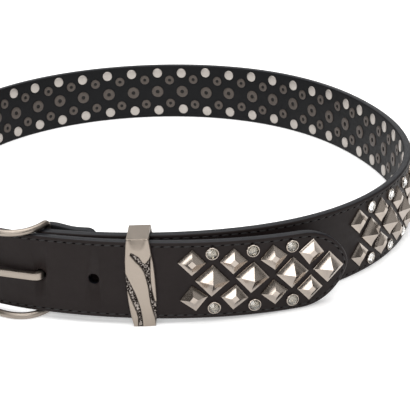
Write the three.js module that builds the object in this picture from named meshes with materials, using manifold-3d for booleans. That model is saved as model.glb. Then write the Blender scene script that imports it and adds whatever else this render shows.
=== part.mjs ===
// A studded leather belt, buckled into a loop and standing on its lower edge.
// Millimetres, +Z up, the buckle side towards -Y. The origin lies on the floor below the loop's middle.

import * as THREE from 'three';
import { mergeVertices } from 'three/addons/utils/BufferGeometryUtils.js';
import Module from 'manifold-3d';

const wasm = await Module();
wasm.setup();

// Strap
const STRAP_WIDTH = 38;
const STRAP_THICKNESS = 4;
const STRAP_BEVEL = 1;
const WAIST_LENGTH = 911;
const STATION_STEP = 16;

// How the loop stands: its plan departs from a circle by a few slow waves, as shares of its radius
const LOOP_WAVES = [
  { lobes: 2, along: -0.039, across: -0.039 },
  { lobes: 3, along: 0.011, across: -0.012 },
  { lobes: 4, along: -0.012, across: -0.004 },
];

// Distances along the loop from the middle of its front, to the right
const BUCKLE_AT = -46.5;
const KEEPER_AT = -1.6;

// Free end of the strap, measured back from its point
const TIP_TAPER = 24;
const TIP_FULLNESS = 0.62;
const TIP_BLUNTNESS = 0.01;
const FIRST_HOLE = 118;
const HOLE_PITCH = 25.4;
const HOLE_COUNT = 5;
const FASTENED_HOLE = 2;
const HOLE_DIAMETER = 5;

// Gap between the two layers, which widens towards the free point as the end springs away
const GAP_AT_BUCKLE = 1.8;
const GAP_AT_TIP = 11;
const GAP_GROWTH = 1.25;
const LEAN_AT_BUCKLE = 0.035;
const LEAN_AT_TIP = -0.026;
const MERGE_REACH = 230;
const LIFT_REACH = 145;

// Fold round the heel bar
const TAB_LENGTH = 24;
const TAB_CLOSING = 15;
const FIT = 0.35;
const SLOT_REACH_BACK = 5.5;

// Buckle
const FRAME_ROD = 3.2;
const FRAME_LENGTH = 33;
const FRAME_ARCH = 12;
const FRAME_CORNER = 2.2;
const ROD_SIDES = 8;
const RAIL_STEPS = 9;
const PRONG_WIDTH = 3.2;
const PRONG_THICKNESS = 2.6;
const PRONG_OVERHANG = 3;
const EYE_SIDES = 12;

// Keeper
const KEEPER_WALL = 1.6;
const KEEPER_HEADROOM = 1;
const KEEPER_CORNER = 2.2;
const KEEPER_CROWN = 0.5;
const KEEPER_WIDTH = 13.4;
const FURROW_DEPTH = 0.6;

// Studs
const STUD_PITCH = 17.85;
const LARGE_STUD = { side: 11, height: 5.1, waist: 0.58, waistHeight: 0.36, crown: 0.05 };
const SMALL_STUD = { side: 9.2, height: 3.8, waist: 0.62, waistHeight: 0.4, crown: 0.2 };
const CRYSTAL = { diameter: 6, rim: 1.1, girdle: 0.84, table: 0.46, height: 2 };
const STUD_SKIRT = 0.7;
const STUD_SUNK = 0.7;
const STONE_SIDES = 8;
const SMALL_ROW = 8.7;
const CRYSTAL_ROW = 13.5;
const TIP_TO_FIRST_STUD = 10.9;
const TIP_COLUMNS = 8;
const FIELD_FROM_BUCKLE = 153.7;
const FIELD_TO_LAST_HOLE = 40;
const SIDE_COLUMNS = 2;

// Widths that follow from the sizes above
const rodRadius = FRAME_ROD / 2;
const foldRadius = rodRadius + FIT + STRAP_THICKNESS / 2;
const buckleLift = FRAME_ROD + FIT;
const outerOffset = STRAP_THICKNESS + GAP_AT_BUCKLE;
const freeLength = FIRST_HOLE + HOLE_PITCH * (FASTENED_HOLE - 1);

function smoothStep(share) {
  const t = THREE.MathUtils.clamp(share, 0, 1);
  return t * t * (3 - 2 * t);
}

// Points of the loop's plan at equal angles, with the arc length from the middle of the front
function tabulateLoop(steps) {
  const points = [];
  for (let i = 0; i <= steps; i += 1) {
    const angle = -Math.PI / 2 + (2 * Math.PI * i) / steps;
    let radius = 1;
    for (const wave of LOOP_WAVES) {
      radius += wave.along * Math.cos(wave.lobes * angle) + wave.across * Math.sin(wave.lobes * angle);
    }
    points.push(new THREE.Vector2(Math.cos(angle), Math.sin(angle)).multiplyScalar(radius));
  }
  const lengths = [0];
  for (let i = 1; i <= steps; i += 1) {
    lengths.push(lengths[i - 1] + points[i].distanceTo(points[i - 1]));
  }
  const scale = WAIST_LENGTH / lengths[steps];
  return { points: points.map((p) => p.multiplyScalar(scale)), lengths: lengths.map((l) => l * scale) };
}

const loop = tabulateLoop(1440);

function planAt(distance) {
  const wrapped = THREE.MathUtils.euclideanModulo(distance, WAIST_LENGTH);
  let low = 0;
  let high = loop.lengths.length - 1;
  while (high - low > 1) {
    const middle = (low + high) >> 1;
    if (loop.lengths[middle] <= wrapped) low = middle;
    else high = middle;
  }
  const share = (wrapped - loop.lengths[low]) / (loop.lengths[high] - loop.lengths[low]);
  return loop.points[low].clone().lerp(loop.points[high], share);
}

// Place on the loop at a distance along it: point, direction of travel and outward normal
function loopFrame(distance) {
  const along = planAt(distance + 1).sub(planAt(distance - 1)).normalize();
  return { point: planAt(distance), along, outward: new THREE.Vector2(along.y, -along.x) };
}

function offsetPoint(distance, offset) {
  const frame = loopFrame(distance);
  return frame.point.addScaledVector(frame.outward, offset);
}

// The strap's lower edge is lifted where the buckle carries it, and sinks to the floor beyond it
function liftAt(distance) {
  const half = WAIST_LENGTH / 2;
  const fromMiddle = distance - (BUCKLE_AT - FRAME_LENGTH / 2);
  const away = Math.abs(THREE.MathUtils.euclideanModulo(fromMiddle + half, WAIST_LENGTH) - half);
  return buckleLift * (1 - smoothStep((away - FRAME_LENGTH / 2) / LIFT_REACH));
}

// Centre line of the whole strap, from the folded tab round the bar, round the waist, to the point
function traceStrap() {
  const track = [];
  const put = (point, distance, lean) => track.push({ point, lift: liftAt(distance), lean });
  const tabGap = STRAP_THICKNESS + FIT;
  for (let d = TAB_LENGTH; d > 0; d -= 1) {
    const open = 1 - smoothStep(d / TAB_CLOSING);
    put(offsetPoint(BUCKLE_AT + d, -(tabGap + (2 * foldRadius - tabGap) * open)), BUCKLE_AT + d, 0);
  }
  const bar = loopFrame(BUCKLE_AT);
  const barCentre = offsetPoint(BUCKLE_AT, -foldRadius);
  const bendSteps = 12;
  for (let i = 0; i < bendSteps; i += 1) {
    const turn = (Math.PI * i) / bendSteps;
    const point = barCentre.clone().addScaledVector(bar.along, -foldRadius * Math.sin(turn));
    put(point.addScaledVector(bar.outward, -foldRadius * Math.cos(turn)), BUCKLE_AT, 0);
  }
  for (let d = 0; d < WAIST_LENGTH; d += 1) {
    const merged = smoothStep((d - (WAIST_LENGTH - MERGE_REACH)) / (MERGE_REACH - FRAME_LENGTH));
    put(offsetPoint(BUCKLE_AT + d, outerOffset * merged), BUCKLE_AT + d, LEAN_AT_BUCKLE * merged);
  }
  let travelled = 0;
  let last = offsetPoint(BUCKLE_AT, outerOffset);
  for (let d = 0; travelled < freeLength; d += 0.5) {
    const share = travelled / freeLength;
    const gap = GAP_AT_BUCKLE + (GAP_AT_TIP - GAP_AT_BUCKLE) * share ** GAP_GROWTH;
    const point = offsetPoint(BUCKLE_AT + d, STRAP_THICKNESS + gap);
    travelled += point.distanceTo(last);
    last = point;
    put(point, BUCKLE_AT + d, LEAN_AT_BUCKLE + (LEAN_AT_TIP - LEAN_AT_BUCKLE) * share);
  }
  let length = 0;
  track.forEach((place, i) => {
    if (i > 0) length += place.point.distanceTo(track[i - 1].point);
    place.length = length;
  });
  return track;
}

const track = traceStrap();
const strapLength = track[track.length - 1].length;
const mainStart = TAB_LENGTH + Math.PI * foldRadius;

// Frame on the strap's centre line: along the strap, out of its finished face, and up its width
function strapFrame(length) {
  let i = 1;
  while (i < track.length - 1 && track[i].length < length) i += 1;
  const a = track[i - 1];
  const b = track[i];
  const share = (length - a.length) / (b.length - a.length);
  const before = track[Math.max(i - 3, 0)].point;
  const after = track[Math.min(i + 2, track.length - 1)].point;
  const along2 = after.clone().sub(before).normalize();
  const lean = THREE.MathUtils.lerp(a.lean, b.lean, share);
  const flat = new THREE.Vector3(along2.y, -along2.x, 0);
  const along = new THREE.Vector3(along2.x, along2.y, 0);
  const out = flat.clone().multiplyScalar(Math.cos(lean)).add(new THREE.Vector3(0, 0, Math.sin(lean)));
  const up = flat.clone().multiplyScalar(-Math.sin(lean)).add(new THREE.Vector3(0, 0, Math.cos(lean)));
  const plan = a.point.clone().lerp(b.point, share);
  const height = THREE.MathUtils.lerp(a.lift, b.lift, share) + STRAP_WIDTH / 2;
  return { origin: new THREE.Vector3(plan.x, plan.y, height), along, out, up };
}

// Closed or capped skin through rings of points, each ring convex and with the same count
function skin(rings, closed) {
  const count = rings[0].length;
  const positions = rings.flat().flatMap((p) => [p.x, p.y, p.z]);
  const index = [];
  const spans = closed ? rings.length : rings.length - 1;
  for (let r = 0; r < spans; r += 1) {
    const next = (r + 1) % rings.length;
    for (let k = 0; k < count; k += 1) {
      const l = (k + 1) % count;
      const [a, b, c, d] = [r * count + k, r * count + l, next * count + l, next * count + k];
      index.push(a, b, c, a, c, d);
    }
  }
  if (!closed) {
    const end = (rings.length - 1) * count;
    for (let k = 1; k < count - 1; k += 1) {
      index.push(0, k + 1, k, end, end + k, end + k + 1);
    }
  }
  const geometry = new THREE.BufferGeometry();
  geometry.setAttribute('position', new THREE.Float32BufferAttribute(positions, 3));
  geometry.setIndex(index);
  return faceOutwards(geometry);
}

function faceOutwards(geometry) {
  const p = geometry.getAttribute('position');
  const index = geometry.getIndex();
  const [a, b, c] = [new THREE.Vector3(), new THREE.Vector3(), new THREE.Vector3()];
  let volume = 0;
  for (let i = 0; i < index.count; i += 3) {
    a.fromBufferAttribute(p, index.getX(i));
    b.fromBufferAttribute(p, index.getX(i + 1));
    c.fromBufferAttribute(p, index.getX(i + 2));
    volume += a.dot(b.cross(c));
  }
  if (volume < 0) {
    for (let i = 0; i < index.count; i += 3) {
      const swap = index.getX(i + 1);
      index.setX(i + 1, index.getX(i + 2));
      index.setX(i + 2, swap);
    }
  }
  return geometry;
}

function toSolid(geometry) {
  const bare = geometry.clone();
  bare.deleteAttribute('normal');
  bare.deleteAttribute('uv');
  const merged = mergeVertices(bare, 1e-4);
  return new wasm.Manifold(new wasm.Mesh({
    numProp: 3,
    vertProperties: new Float32Array(merged.getAttribute('position').array),
    triVerts: new Uint32Array(merged.getIndex().array),
  }));
}

function toGeometry(solid) {
  const mesh = solid.getMesh();
  const geometry = new THREE.BufferGeometry();
  geometry.setAttribute('position', new THREE.Float32BufferAttribute(mesh.vertProperties, 3));
  geometry.setIndex(Array.from(mesh.triVerts));
  return geometry;
}

// Matrix that stands a piece on the strap's finished face: x along, y up the width, z out of the face
function onStrap(length, row, clear) {
  const frame = strapFrame(length);
  const origin = frame.origin.clone();
  origin.addScaledVector(frame.up, row);
  origin.addScaledVector(frame.out, STRAP_THICKNESS / 2 + clear);
  return new THREE.Matrix4().makeBasis(frame.along, frame.up, frame.out).setPosition(origin);
}

// Width of the strap as a share of its full width, at a distance back from its point
function tipShare(back) {
  const t = THREE.MathUtils.clamp(1 - back / TIP_TAPER, 0, 1 - TIP_BLUNTNESS);
  return (1 - t * t) ** TIP_FULLNESS;
}

function strapStations() {
  const stations = [0, TAB_LENGTH - TAB_CLOSING, TAB_LENGTH - TAB_CLOSING / 2];
  const bendSteps = 8;
  for (let i = 0; i <= bendSteps; i += 1) {
    stations.push(TAB_LENGTH + ((mainStart - TAB_LENGTH) * i) / bendSteps);
  }
  const runEnd = strapLength - TIP_TAPER;
  const steps = Math.round((runEnd - mainStart) / STATION_STEP);
  for (let i = 1; i <= steps; i += 1) {
    stations.push(mainStart + ((runEnd - mainStart) * i) / steps);
  }
  for (const back of [0.78, 0.58, 0.4, 0.26, 0.15, 0.07, 0.02, 0]) {
    stations.push(strapLength - back * TIP_TAPER);
  }
  return stations;
}

function strapBand() {
  const rings = strapStations().map((length) => {
    const frame = strapFrame(length);
    const half = (STRAP_WIDTH / 2) * tipShare(strapLength - length);
    const a = STRAP_THICKNESS / 2;
    const bevel = Math.min(STRAP_BEVEL, half / 2);
    const outline = [[a, half - bevel], [a - bevel, half], [bevel - a, half], [-a, half - bevel],
      [-a, bevel - half], [bevel - a, -half], [a - bevel, -half], [a, bevel - half]];
    return outline.map(([depth, rise]) => frame.origin.clone()
      .addScaledVector(frame.out, depth).addScaledVector(frame.up, rise));
  });
  return toSolid(skin(rings, false));
}

function holeCutter(length) {
  const cutter = new THREE.CylinderGeometry(HOLE_DIAMETER / 2, HOLE_DIAMETER / 2, STRAP_THICKNESS + 2 * FIT, 12);
  cutter.rotateX(Math.PI / 2);
  return toSolid(cutter.applyMatrix4(onStrap(length, 0, -STRAP_THICKNESS / 2)));
}

// Frame of the buckle: x along the strap away from the point, y outwards, z up, from the fold's face
function buckleMatrix() {
  const bar = loopFrame(BUCKLE_AT);
  const away = new THREE.Vector3(-bar.along.x, -bar.along.y, 0);
  const out = new THREE.Vector3(bar.outward.x, bar.outward.y, 0);
  const height = buckleLift + STRAP_WIDTH / 2;
  const origin = new THREE.Vector3(bar.point.x, bar.point.y, height);
  return new THREE.Matrix4().makeBasis(away, out, new THREE.Vector3(0, 0, 1)).setPosition(origin);
}

function slotCutter() {
  const length = SLOT_REACH_BACK + 2 * foldRadius + STRAP_THICKNESS;
  const depth = 2 * foldRadius + STRAP_THICKNESS + 2 * FIT;
  const slot = new THREE.BoxGeometry(length, depth, PRONG_WIDTH + 4 * FIT);
  slot.translate(length / 2 - SLOT_REACH_BACK, -foldRadius, 0);
  return toSolid(slot.applyMatrix4(buckleMatrix()));
}

// Pyramid stud: a short upright skirt, hollow-ground flanks and a small flat crown, set as a diamond
function studGeometry(stud, below) {
  const half = stud.side / 2;
  const levels = [
    { z: -below, reach: half },
    { z: STUD_SKIRT, reach: half },
    { z: STUD_SKIRT + (stud.height - STUD_SKIRT) * stud.waistHeight, reach: half * stud.waist },
    { z: stud.height, reach: half * stud.crown },
  ];
  const rings = levels.map(({ z, reach }) => [0, 1, 2, 3].map((k) => {
    const angle = (k * Math.PI) / 2;
    const far = reach * Math.SQRT2;
    return new THREE.Vector3(far * Math.cos(angle), far * Math.sin(angle), z);
  }));
  return skin(rings, false);
}

// Crystal: a thin round rim, and a cut stone with its crown facets and table
function crystalGeometry(below) {
  const radius = CRYSTAL.diameter / 2;
  const levels = [
    { z: -below, reach: radius },
    { z: CRYSTAL.rim, reach: radius * CRYSTAL.girdle },
    { z: CRYSTAL.height, reach: radius * CRYSTAL.table },
  ];
  const rings = levels.map(({ z, reach }) => Array.from({ length: STONE_SIDES }, (_, k) => {
    const angle = ((k + 0.5) * 2 * Math.PI) / STONE_SIDES;
    return new THREE.Vector3(reach * Math.cos(angle), reach * Math.sin(angle), z);
  }));
  return skin(rings, false);
}

// Columns of studs alternate: a large stud between two crystals, then two small studs
function columnStuds(large, crystals) {
  if (!large) return [{ kind: 'small_stud', row: SMALL_ROW }, { kind: 'small_stud', row: -SMALL_ROW }];
  const column = [{ kind: 'large_stud', row: 0 }];
  if (crystals) column.push({ kind: 'crystal', row: CRYSTAL_ROW }, { kind: 'crystal', row: -CRYSTAL_ROW });
  return column;
}

function studOfKind(kind, below) {
  if (kind === 'crystal') return crystalGeometry(below);
  return studGeometry(kind === 'large_stud' ? LARGE_STUD : SMALL_STUD, below);
}

const fieldStart = mainStart + FIELD_FROM_BUCKLE;
const lastHole = strapLength - FIRST_HOLE - HOLE_PITCH * (HOLE_COUNT - 1);
const fieldColumns = Math.floor((lastHole - FIELD_TO_LAST_HOLE - fieldStart) / (STUD_PITCH / 2)) + 1;

function strapGeometry() {
  let solid = strapBand().subtract(slotCutter());
  for (let i = 0; i < HOLE_COUNT; i += 1) {
    solid = solid.subtract(holeCutter(strapLength - FIRST_HOLE - i * HOLE_PITCH));
  }
  for (let column = SIDE_COLUMNS; column < fieldColumns; column += 1) {
    const length = fieldStart + (column * STUD_PITCH) / 2;
    for (const { kind, row } of columnStuds(column % 2 === 1, true)) {
      const stud = studOfKind(kind, STUD_SUNK).applyMatrix4(onStrap(length, row, 0));
      solid = solid.add(toSolid(stud));
    }
  }
  return toGeometry(solid);
}

// The frame's rails arch outwards from the heel bar over the strap, to the front bar outside it
function archCurve() {
  const place = buckleMatrix().invert();
  const face = offsetPoint(BUCKLE_AT - FRAME_LENGTH, outerOffset + STRAP_THICKNESS / 2);
  const local = new THREE.Vector3(face.x, face.y, 0).applyMatrix4(place);
  const frontY = local.y + (STRAP_WIDTH / 2) * Math.abs(LEAN_AT_BUCKLE) + 2 * FIT + rodRadius;
  const heelY = -foldRadius;
  return new THREE.CubicBezierCurve(
    new THREE.Vector2(0, heelY),
    new THREE.Vector2(rodRadius, heelY + FRAME_ARCH),
    new THREE.Vector2(FRAME_LENGTH / 4, outerOffset + FRAME_ARCH),
    new THREE.Vector2(FRAME_LENGTH, frontY),
  );
}

function buckleFrameGeometry() {
  const arch = archCurve();
  const archLength = arch.getLength();
  const railHeight = STRAP_WIDTH / 2 + FIT + rodRadius;
  const outline = new THREE.Shape();
  const c = FRAME_CORNER;
  const railRun = archLength - 2 * c;
  outline.moveTo(c, -railHeight);
  for (let i = 1; i <= RAIL_STEPS; i += 1) outline.lineTo(c + (railRun * i) / RAIL_STEPS, -railHeight);
  outline.absarc(archLength - c, c - railHeight, c, -Math.PI / 2, 0, false);
  outline.lineTo(archLength, railHeight - c);
  outline.absarc(archLength - c, railHeight - c, c, 0, Math.PI / 2, false);
  for (let i = RAIL_STEPS - 1; i >= 0; i -= 1) outline.lineTo(c + (railRun * i) / RAIL_STEPS, railHeight);
  outline.absarc(c, railHeight - c, c, Math.PI / 2, Math.PI, false);
  outline.lineTo(0, c - railHeight);
  outline.absarc(c, c - railHeight, c, Math.PI, 1.5 * Math.PI, false);
  const flat = mergedPoints(outline.getPoints(2));
  const path = flat.map(({ x, y }) => {
    const plan = arch.getPointAt(THREE.MathUtils.clamp(x / archLength, 0, 1));
    return new THREE.Vector3(plan.x, plan.y, y);
  });
  const rings = path.map((here, i) => {
    const arriving = here.clone().sub(path[(i + path.length - 1) % path.length]).normalize();
    const leaving = path[(i + 1) % path.length].clone().sub(here).normalize();
    const slope = arch.getTangentAt(THREE.MathUtils.clamp(flat[i].x / archLength, 0, 1));
    const normal = new THREE.Vector3(-slope.y, slope.x, 0);
    const side = arriving.add(leaving).cross(normal).normalize();
    return Array.from({ length: ROD_SIDES }, (_, k) => {
      const angle = ((k + 0.5) * 2 * Math.PI) / ROD_SIDES;
      const reach = rodRadius / Math.cos(Math.PI / ROD_SIDES);
      return here.clone().addScaledVector(normal, reach * Math.cos(angle))
        .addScaledVector(side, reach * Math.sin(angle));
    });
  });
  return skin(rings, true).applyMatrix4(buckleMatrix());
}

// Prong: an eye round the heel bar, a shank out through the hole, and a blade to the front bar
function prongGeometry() {
  const arch = archCurve();
  const front = arch.getPoint(1);
  const eyeY = -foldRadius;
  const eyeInner = rodRadius + FIT;
  const eyeOuter = eyeInner + PRONG_THICKNESS * 0.75;
  const half = PRONG_THICKNESS / 2;
  const under = outerOffset + STRAP_THICKNESS / 2 + 2 * FIT;
  const restY = front.y + rodRadius + FIT;
  const tipX = FRAME_LENGTH + rodRadius + PRONG_OVERHANG;
  const outline = new THREE.Shape();
  outline.moveTo(-half, eyeY + eyeOuter * 0.9);
  outline.lineTo(-half, under);
  outline.quadraticCurveTo(-half, under + PRONG_THICKNESS, PRONG_THICKNESS, under + PRONG_THICKNESS * 1.1);
  outline.quadraticCurveTo(FRAME_LENGTH * 0.6, under + PRONG_THICKNESS, tipX - half, restY + half);
  outline.lineTo(tipX, restY);
  outline.lineTo(tipX - half, restY - half / 2);
  outline.lineTo(FRAME_LENGTH, restY);
  outline.quadraticCurveTo(FRAME_LENGTH * 0.5, under + half, PRONG_THICKNESS, under + half / 4);
  outline.quadraticCurveTo(half, under, half, under - half);
  outline.lineTo(half, eyeY + eyeOuter * 0.9);
  outline.absarc(0, eyeY, eyeOuter, Math.PI * 0.36, Math.PI * 0.64, true);
  const eye = Array.from({ length: EYE_SIDES }, (_, k) => {
    const angle = (k * 2 * Math.PI) / EYE_SIDES;
    return new THREE.Vector2(eyeInner * Math.cos(angle), eyeY + eyeInner * Math.sin(angle));
  });
  outline.holes.push(new THREE.Path(eye));
  const prong = new THREE.ExtrudeGeometry(outline, {
    depth: PRONG_WIDTH,
    bevelEnabled: false,
    curveSegments: 6,
  });
  prong.translate(0, 0, -PRONG_WIDTH / 2);
  return toGeometry(toSolid(prong.applyMatrix4(buckleMatrix())));
}

// Keeper outline seen from the front: half widths left and right at heights, as shares of its sizes
const KEEPER_SIDES = [
  { height: 0, left: 0.36, right: 0.36 },
  { height: 0.13, left: 0.43, right: 0.45 },
  { height: 0.38, left: 0.5, right: 0.5 },
  { height: 0.62, left: 0.48, right: 0.46 },
  { height: 0.83, left: 0.46, right: 0.4 },
  { height: 1, left: 0.36, right: 0.34 },
];

function keeperSides(share) {
  let i = 1;
  while (i < KEEPER_SIDES.length - 1 && KEEPER_SIDES[i].height < share) i += 1;
  const [a, b] = [KEEPER_SIDES[i - 1], KEEPER_SIDES[i]];
  const t = THREE.MathUtils.clamp((share - a.height) / (b.height - a.height), 0, 1);
  const left = THREE.MathUtils.lerp(a.left, b.left, t) * KEEPER_WIDTH;
  return { left, right: THREE.MathUtils.lerp(a.right, b.right, t) * KEEPER_WIDTH };
}

const keeperHeight = liftAt(KEEPER_AT) + STRAP_WIDTH + KEEPER_HEADROOM + KEEPER_WALL;

// Frame of the keeper: x along the loop against its travel, y outwards, z up from the floor
function keeperMatrix() {
  const here = loopFrame(KEEPER_AT);
  const along = new THREE.Vector3(-here.along.x, -here.along.y, 0);
  const out = new THREE.Vector3(here.outward.x, here.outward.y, 0);
  const origin = new THREE.Vector3(here.point.x, here.point.y, 0);
  return new THREE.Matrix4().makeBasis(along, out, new THREE.Vector3(0, 0, 1)).setPosition(origin);
}

// How far the free layer stands out within the keeper's width, so that the keeper clears it
function keeperInnerDepth() {
  const toLocal = keeperMatrix().invert();
  const freeLayer = track.filter((place) => place.length > strapLength - freeLength);
  let reach = 0;
  for (const place of freeLayer) {
    const local = new THREE.Vector3(place.point.x, place.point.y, 0).applyMatrix4(toLocal);
    const face = local.y + (STRAP_WIDTH / 2) * Math.abs(place.lean);
    if (Math.abs(local.x) < KEEPER_WIDTH / 2) reach = Math.max(reach, face);
  }
  return reach + STRAP_THICKNESS / 2 + FIT;
}

function roundedBox(inward, radius, back, front) {
  const shape = new THREE.Shape();
  const [x0, x1, y0, y1] = [back + inward, front - inward, inward, keeperHeight - inward];
  shape.moveTo(x0 + radius, y0);
  shape.lineTo(x1 - radius, y0);
  shape.absarc(x1 - radius, y0 + radius, radius, -Math.PI / 2, 0, false);
  for (const side of KEEPER_SIDES.slice(1, -1)) shape.lineTo(x1, side.height * keeperHeight);
  shape.lineTo(x1, y1 - radius);
  shape.absarc(x1 - radius, y1 - radius, radius, 0, Math.PI / 2, false);
  shape.lineTo(x0 + radius, y1);
  shape.absarc(x0 + radius, y1 - radius, radius, Math.PI / 2, Math.PI, false);
  for (const side of KEEPER_SIDES.slice(1, -1).reverse()) shape.lineTo(x0, side.height * keeperHeight);
  shape.lineTo(x0, y0 + radius);
  shape.absarc(x0 + radius, y0 + radius, radius, Math.PI, 1.5 * Math.PI, false);
  return mergedPoints(shape.getPoints(3));
}

function mergedPoints(points) {
  return points.filter((p, i) => p.distanceTo(points[(i + points.length - 1) % points.length]) > 1e-6);
}

// Furrows of the keeper's face, each a closed outline: shares of its width and of its height
const FURROWS = [
  [[-0.4, 0.85], [-0.33, 0.86], [0.02, 0.72], [0.1, 0.7], [0.26, 0.82], [0.6, 0.82], [0.34, 0.7],
    [0.27, 0.54], [0.28, 0.38], [0.6, 0.28], [0.6, 0.1], [0.17, 0.2], [0.1, 0.4], [0.03, 0.58]],
  [[-0.7, 0.62], [-0.48, 0.58], [-0.22, 0.38], [-0.05, 0.2], [-0.02, -0.1], [-0.24, -0.1],
    [-0.27, 0.18], [-0.42, 0.38], [-0.7, 0.46]],
];

function furrowCutter(points, front) {
  const outline = new THREE.Shape(points.map(([x, y]) => new THREE.Vector2(-x * KEEPER_WIDTH, y * keeperHeight)));
  const cutter = new THREE.ExtrudeGeometry(outline, { depth: KEEPER_WALL, bevelEnabled: false });
  cutter.rotateX(Math.PI / 2);
  cutter.translate(0, front - FURROW_DEPTH + KEEPER_WALL, 0);
  return toSolid(cutter.applyMatrix4(keeperMatrix()));
}

function keeperGeometry() {
  const back = -(STRAP_THICKNESS / 2 + 2 * FIT + KEEPER_WALL);
  const front = keeperInnerDepth() + KEEPER_WALL;
  const outer = roundedBox(0, KEEPER_CORNER, back, front);
  const inner = roundedBox(KEEPER_WALL, KEEPER_CORNER - KEEPER_WALL, back, front);
  const rings = outer.map((rim, i) => {
    const wall = inner[i];
    const { left, right } = keeperSides(rim.y / keeperHeight);
    const crown = KEEPER_CROWN * THREE.MathUtils.smoothstep(rim.x, front - KEEPER_CORNER, front);
    return [
      new THREE.Vector3(left, wall.x, wall.y),
      new THREE.Vector3(-right, wall.x, wall.y),
      new THREE.Vector3(-right, rim.x - crown, rim.y),
      new THREE.Vector3(-right / 2, rim.x, rim.y),
      new THREE.Vector3(left / 2, rim.x, rim.y),
      new THREE.Vector3(left, rim.x - crown, rim.y),
    ];
  });
  let solid = toSolid(skin(rings, true).applyMatrix4(keeperMatrix()));
  for (const points of FURROWS) {
    solid = solid.subtract(furrowCutter(points, front));
  }
  return toGeometry(solid);
}

const LEATHER = new THREE.MeshStandardMaterial({ color: 0x2f2a29, roughness: 0.6, metalness: 0 });
const PEWTER = new THREE.MeshStandardMaterial({ color: 0xa8988c, roughness: 0.35, metalness: 1 });
const SATIN_NICKEL = new THREE.MeshStandardMaterial({ color: 0xb0a395, roughness: 0.45, metalness: 1 });
const GLASS = new THREE.MeshStandardMaterial({ color: 0xd8d2c4, roughness: 0.1, metalness: 0.3 });

const assembly = new THREE.Group();

function addPiece(name, geometry, material) {
  const mesh = new THREE.Mesh(geometry, material);
  mesh.name = name;
  assembly.add(mesh);
}

// Studs that are pieces of their own, seated a hair above the strap
function addStuds(prefix, columns) {
  const counts = {};
  for (const { length, studs } of columns) {
    for (const { kind, row } of studs) {
      counts[kind] = (counts[kind] ?? 0) + 1;
      const geometry = studOfKind(kind, 0).applyMatrix4(onStrap(length, row, FIT));
      addPiece(`${prefix}_${kind}_${counts[kind]}`, geometry, kind === 'crystal' ? GLASS : PEWTER);
    }
  }
}

addPiece('strap', strapGeometry(), LEATHER);
addPiece('buckle_frame', buckleFrameGeometry(), SATIN_NICKEL);
addPiece('buckle_prong', prongGeometry(), SATIN_NICKEL);
addPiece('keeper', keeperGeometry(), SATIN_NICKEL);
addStuds('tip', Array.from({ length: TIP_COLUMNS }, (_, column) => ({
  length: strapLength - TIP_TO_FIRST_STUD - (column * STUD_PITCH) / 2,
  studs: columnStuds(column % 2 === 0, column > 0),
})));
addStuds('side', Array.from({ length: SIDE_COLUMNS }, (_, column) => ({
  length: fieldStart + (column * STUD_PITCH) / 2,
  studs: columnStuds(column % 2 === 1, true),
})));

const box = new THREE.Box3().setFromObject(assembly, true);
const middle = box.getCenter(new THREE.Vector3());
assembly.position.set(-middle.x, -middle.y, -box.min.z);

const belt = new THREE.Group();
belt.name = 'studded_belt';
belt.add(assembly);

export default belt;
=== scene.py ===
import math

import bmesh
import bpy
import numpy as np
from mathutils import Matrix, Vector, noise


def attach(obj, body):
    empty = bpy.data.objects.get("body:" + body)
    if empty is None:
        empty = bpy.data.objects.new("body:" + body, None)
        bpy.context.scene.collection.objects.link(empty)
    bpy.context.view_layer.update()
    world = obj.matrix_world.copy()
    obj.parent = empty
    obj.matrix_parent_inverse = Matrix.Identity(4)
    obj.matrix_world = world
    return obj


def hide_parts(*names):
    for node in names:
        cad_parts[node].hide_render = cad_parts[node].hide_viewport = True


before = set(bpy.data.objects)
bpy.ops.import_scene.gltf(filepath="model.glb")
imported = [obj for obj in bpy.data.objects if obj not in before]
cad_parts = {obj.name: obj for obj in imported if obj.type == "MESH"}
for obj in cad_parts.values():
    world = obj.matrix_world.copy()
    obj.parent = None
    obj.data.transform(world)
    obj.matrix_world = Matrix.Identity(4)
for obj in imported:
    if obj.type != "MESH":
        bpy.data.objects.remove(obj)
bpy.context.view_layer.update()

# Camera. A long lens in front of the belt and a little right of its middle, looking down over the
# buckle side at the back of the loop, with the slight tilt of a hand-set tripod.
CAMERA_AT = (0.02638, -0.57656, 0.23407)
CAMERA_LENS = 92.81
CAMERA_PITCH, CAMERA_ROLL = 0.3965, -0.0488

bpy.ops.object.camera_add(location=CAMERA_AT)
camera = bpy.context.object
camera.data.lens = CAMERA_LENS
camera.data.sensor_width = 36
camera.data.clip_end = 20
look_down = Matrix.Rotation(math.pi / 2 - CAMERA_PITCH, 4, "X") @ Matrix.Rotation(CAMERA_ROLL, 4, "Z")
camera.matrix_world = Matrix.Translation(camera.location) @ look_down
bpy.context.scene.camera = camera

# Strap. A 38 mm strap of two leathers stitched together, 4 mm thick, with bevelled and inked edges.
# It is cut flat with its point, grooved for the thread, punched, and then laid round the waist: from
# the tab folded back on the heel bar, once round, and over itself to the point.
MM = 0.001
LOOP_AT = Vector((-1.7818, 2.4481, 0.0056))
STRAP_WIDTH = 38.0
STRAP_THICKNESS = 4.0
STRAP_BEVEL = 1.1
WAIST_LENGTH = 911.0
LOOP_WAVES = [(2, -0.039, -0.039), (3, 0.011, -0.012), (4, -0.012, -0.004)]
BUCKLE_AT = -46.5
TIP_TAPER = 24.0
TIP_ROUNDING = 1.24
TAB_LENGTH = 24.0
TAB_CLOSING = 15.0
TAB_CORNER = 4.0
FRAME_ROD = 3.2
FRAME_LENGTH = 33.0
FIT = 0.35
GAP_AT_BUCKLE, GAP_AT_TIP, GAP_GROWTH = 1.8, 11.0, 1.25
LEAN_AT_BUCKLE, LEAN_AT_TIP = 0.035, -0.026
MERGE_REACH = 230.0
LIFT_REACH = 145.0
FIRST_HOLE, HOLE_PITCH, HOLE_COUNT, FASTENED_HOLE = 118.0, 25.4, 5, 2
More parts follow.
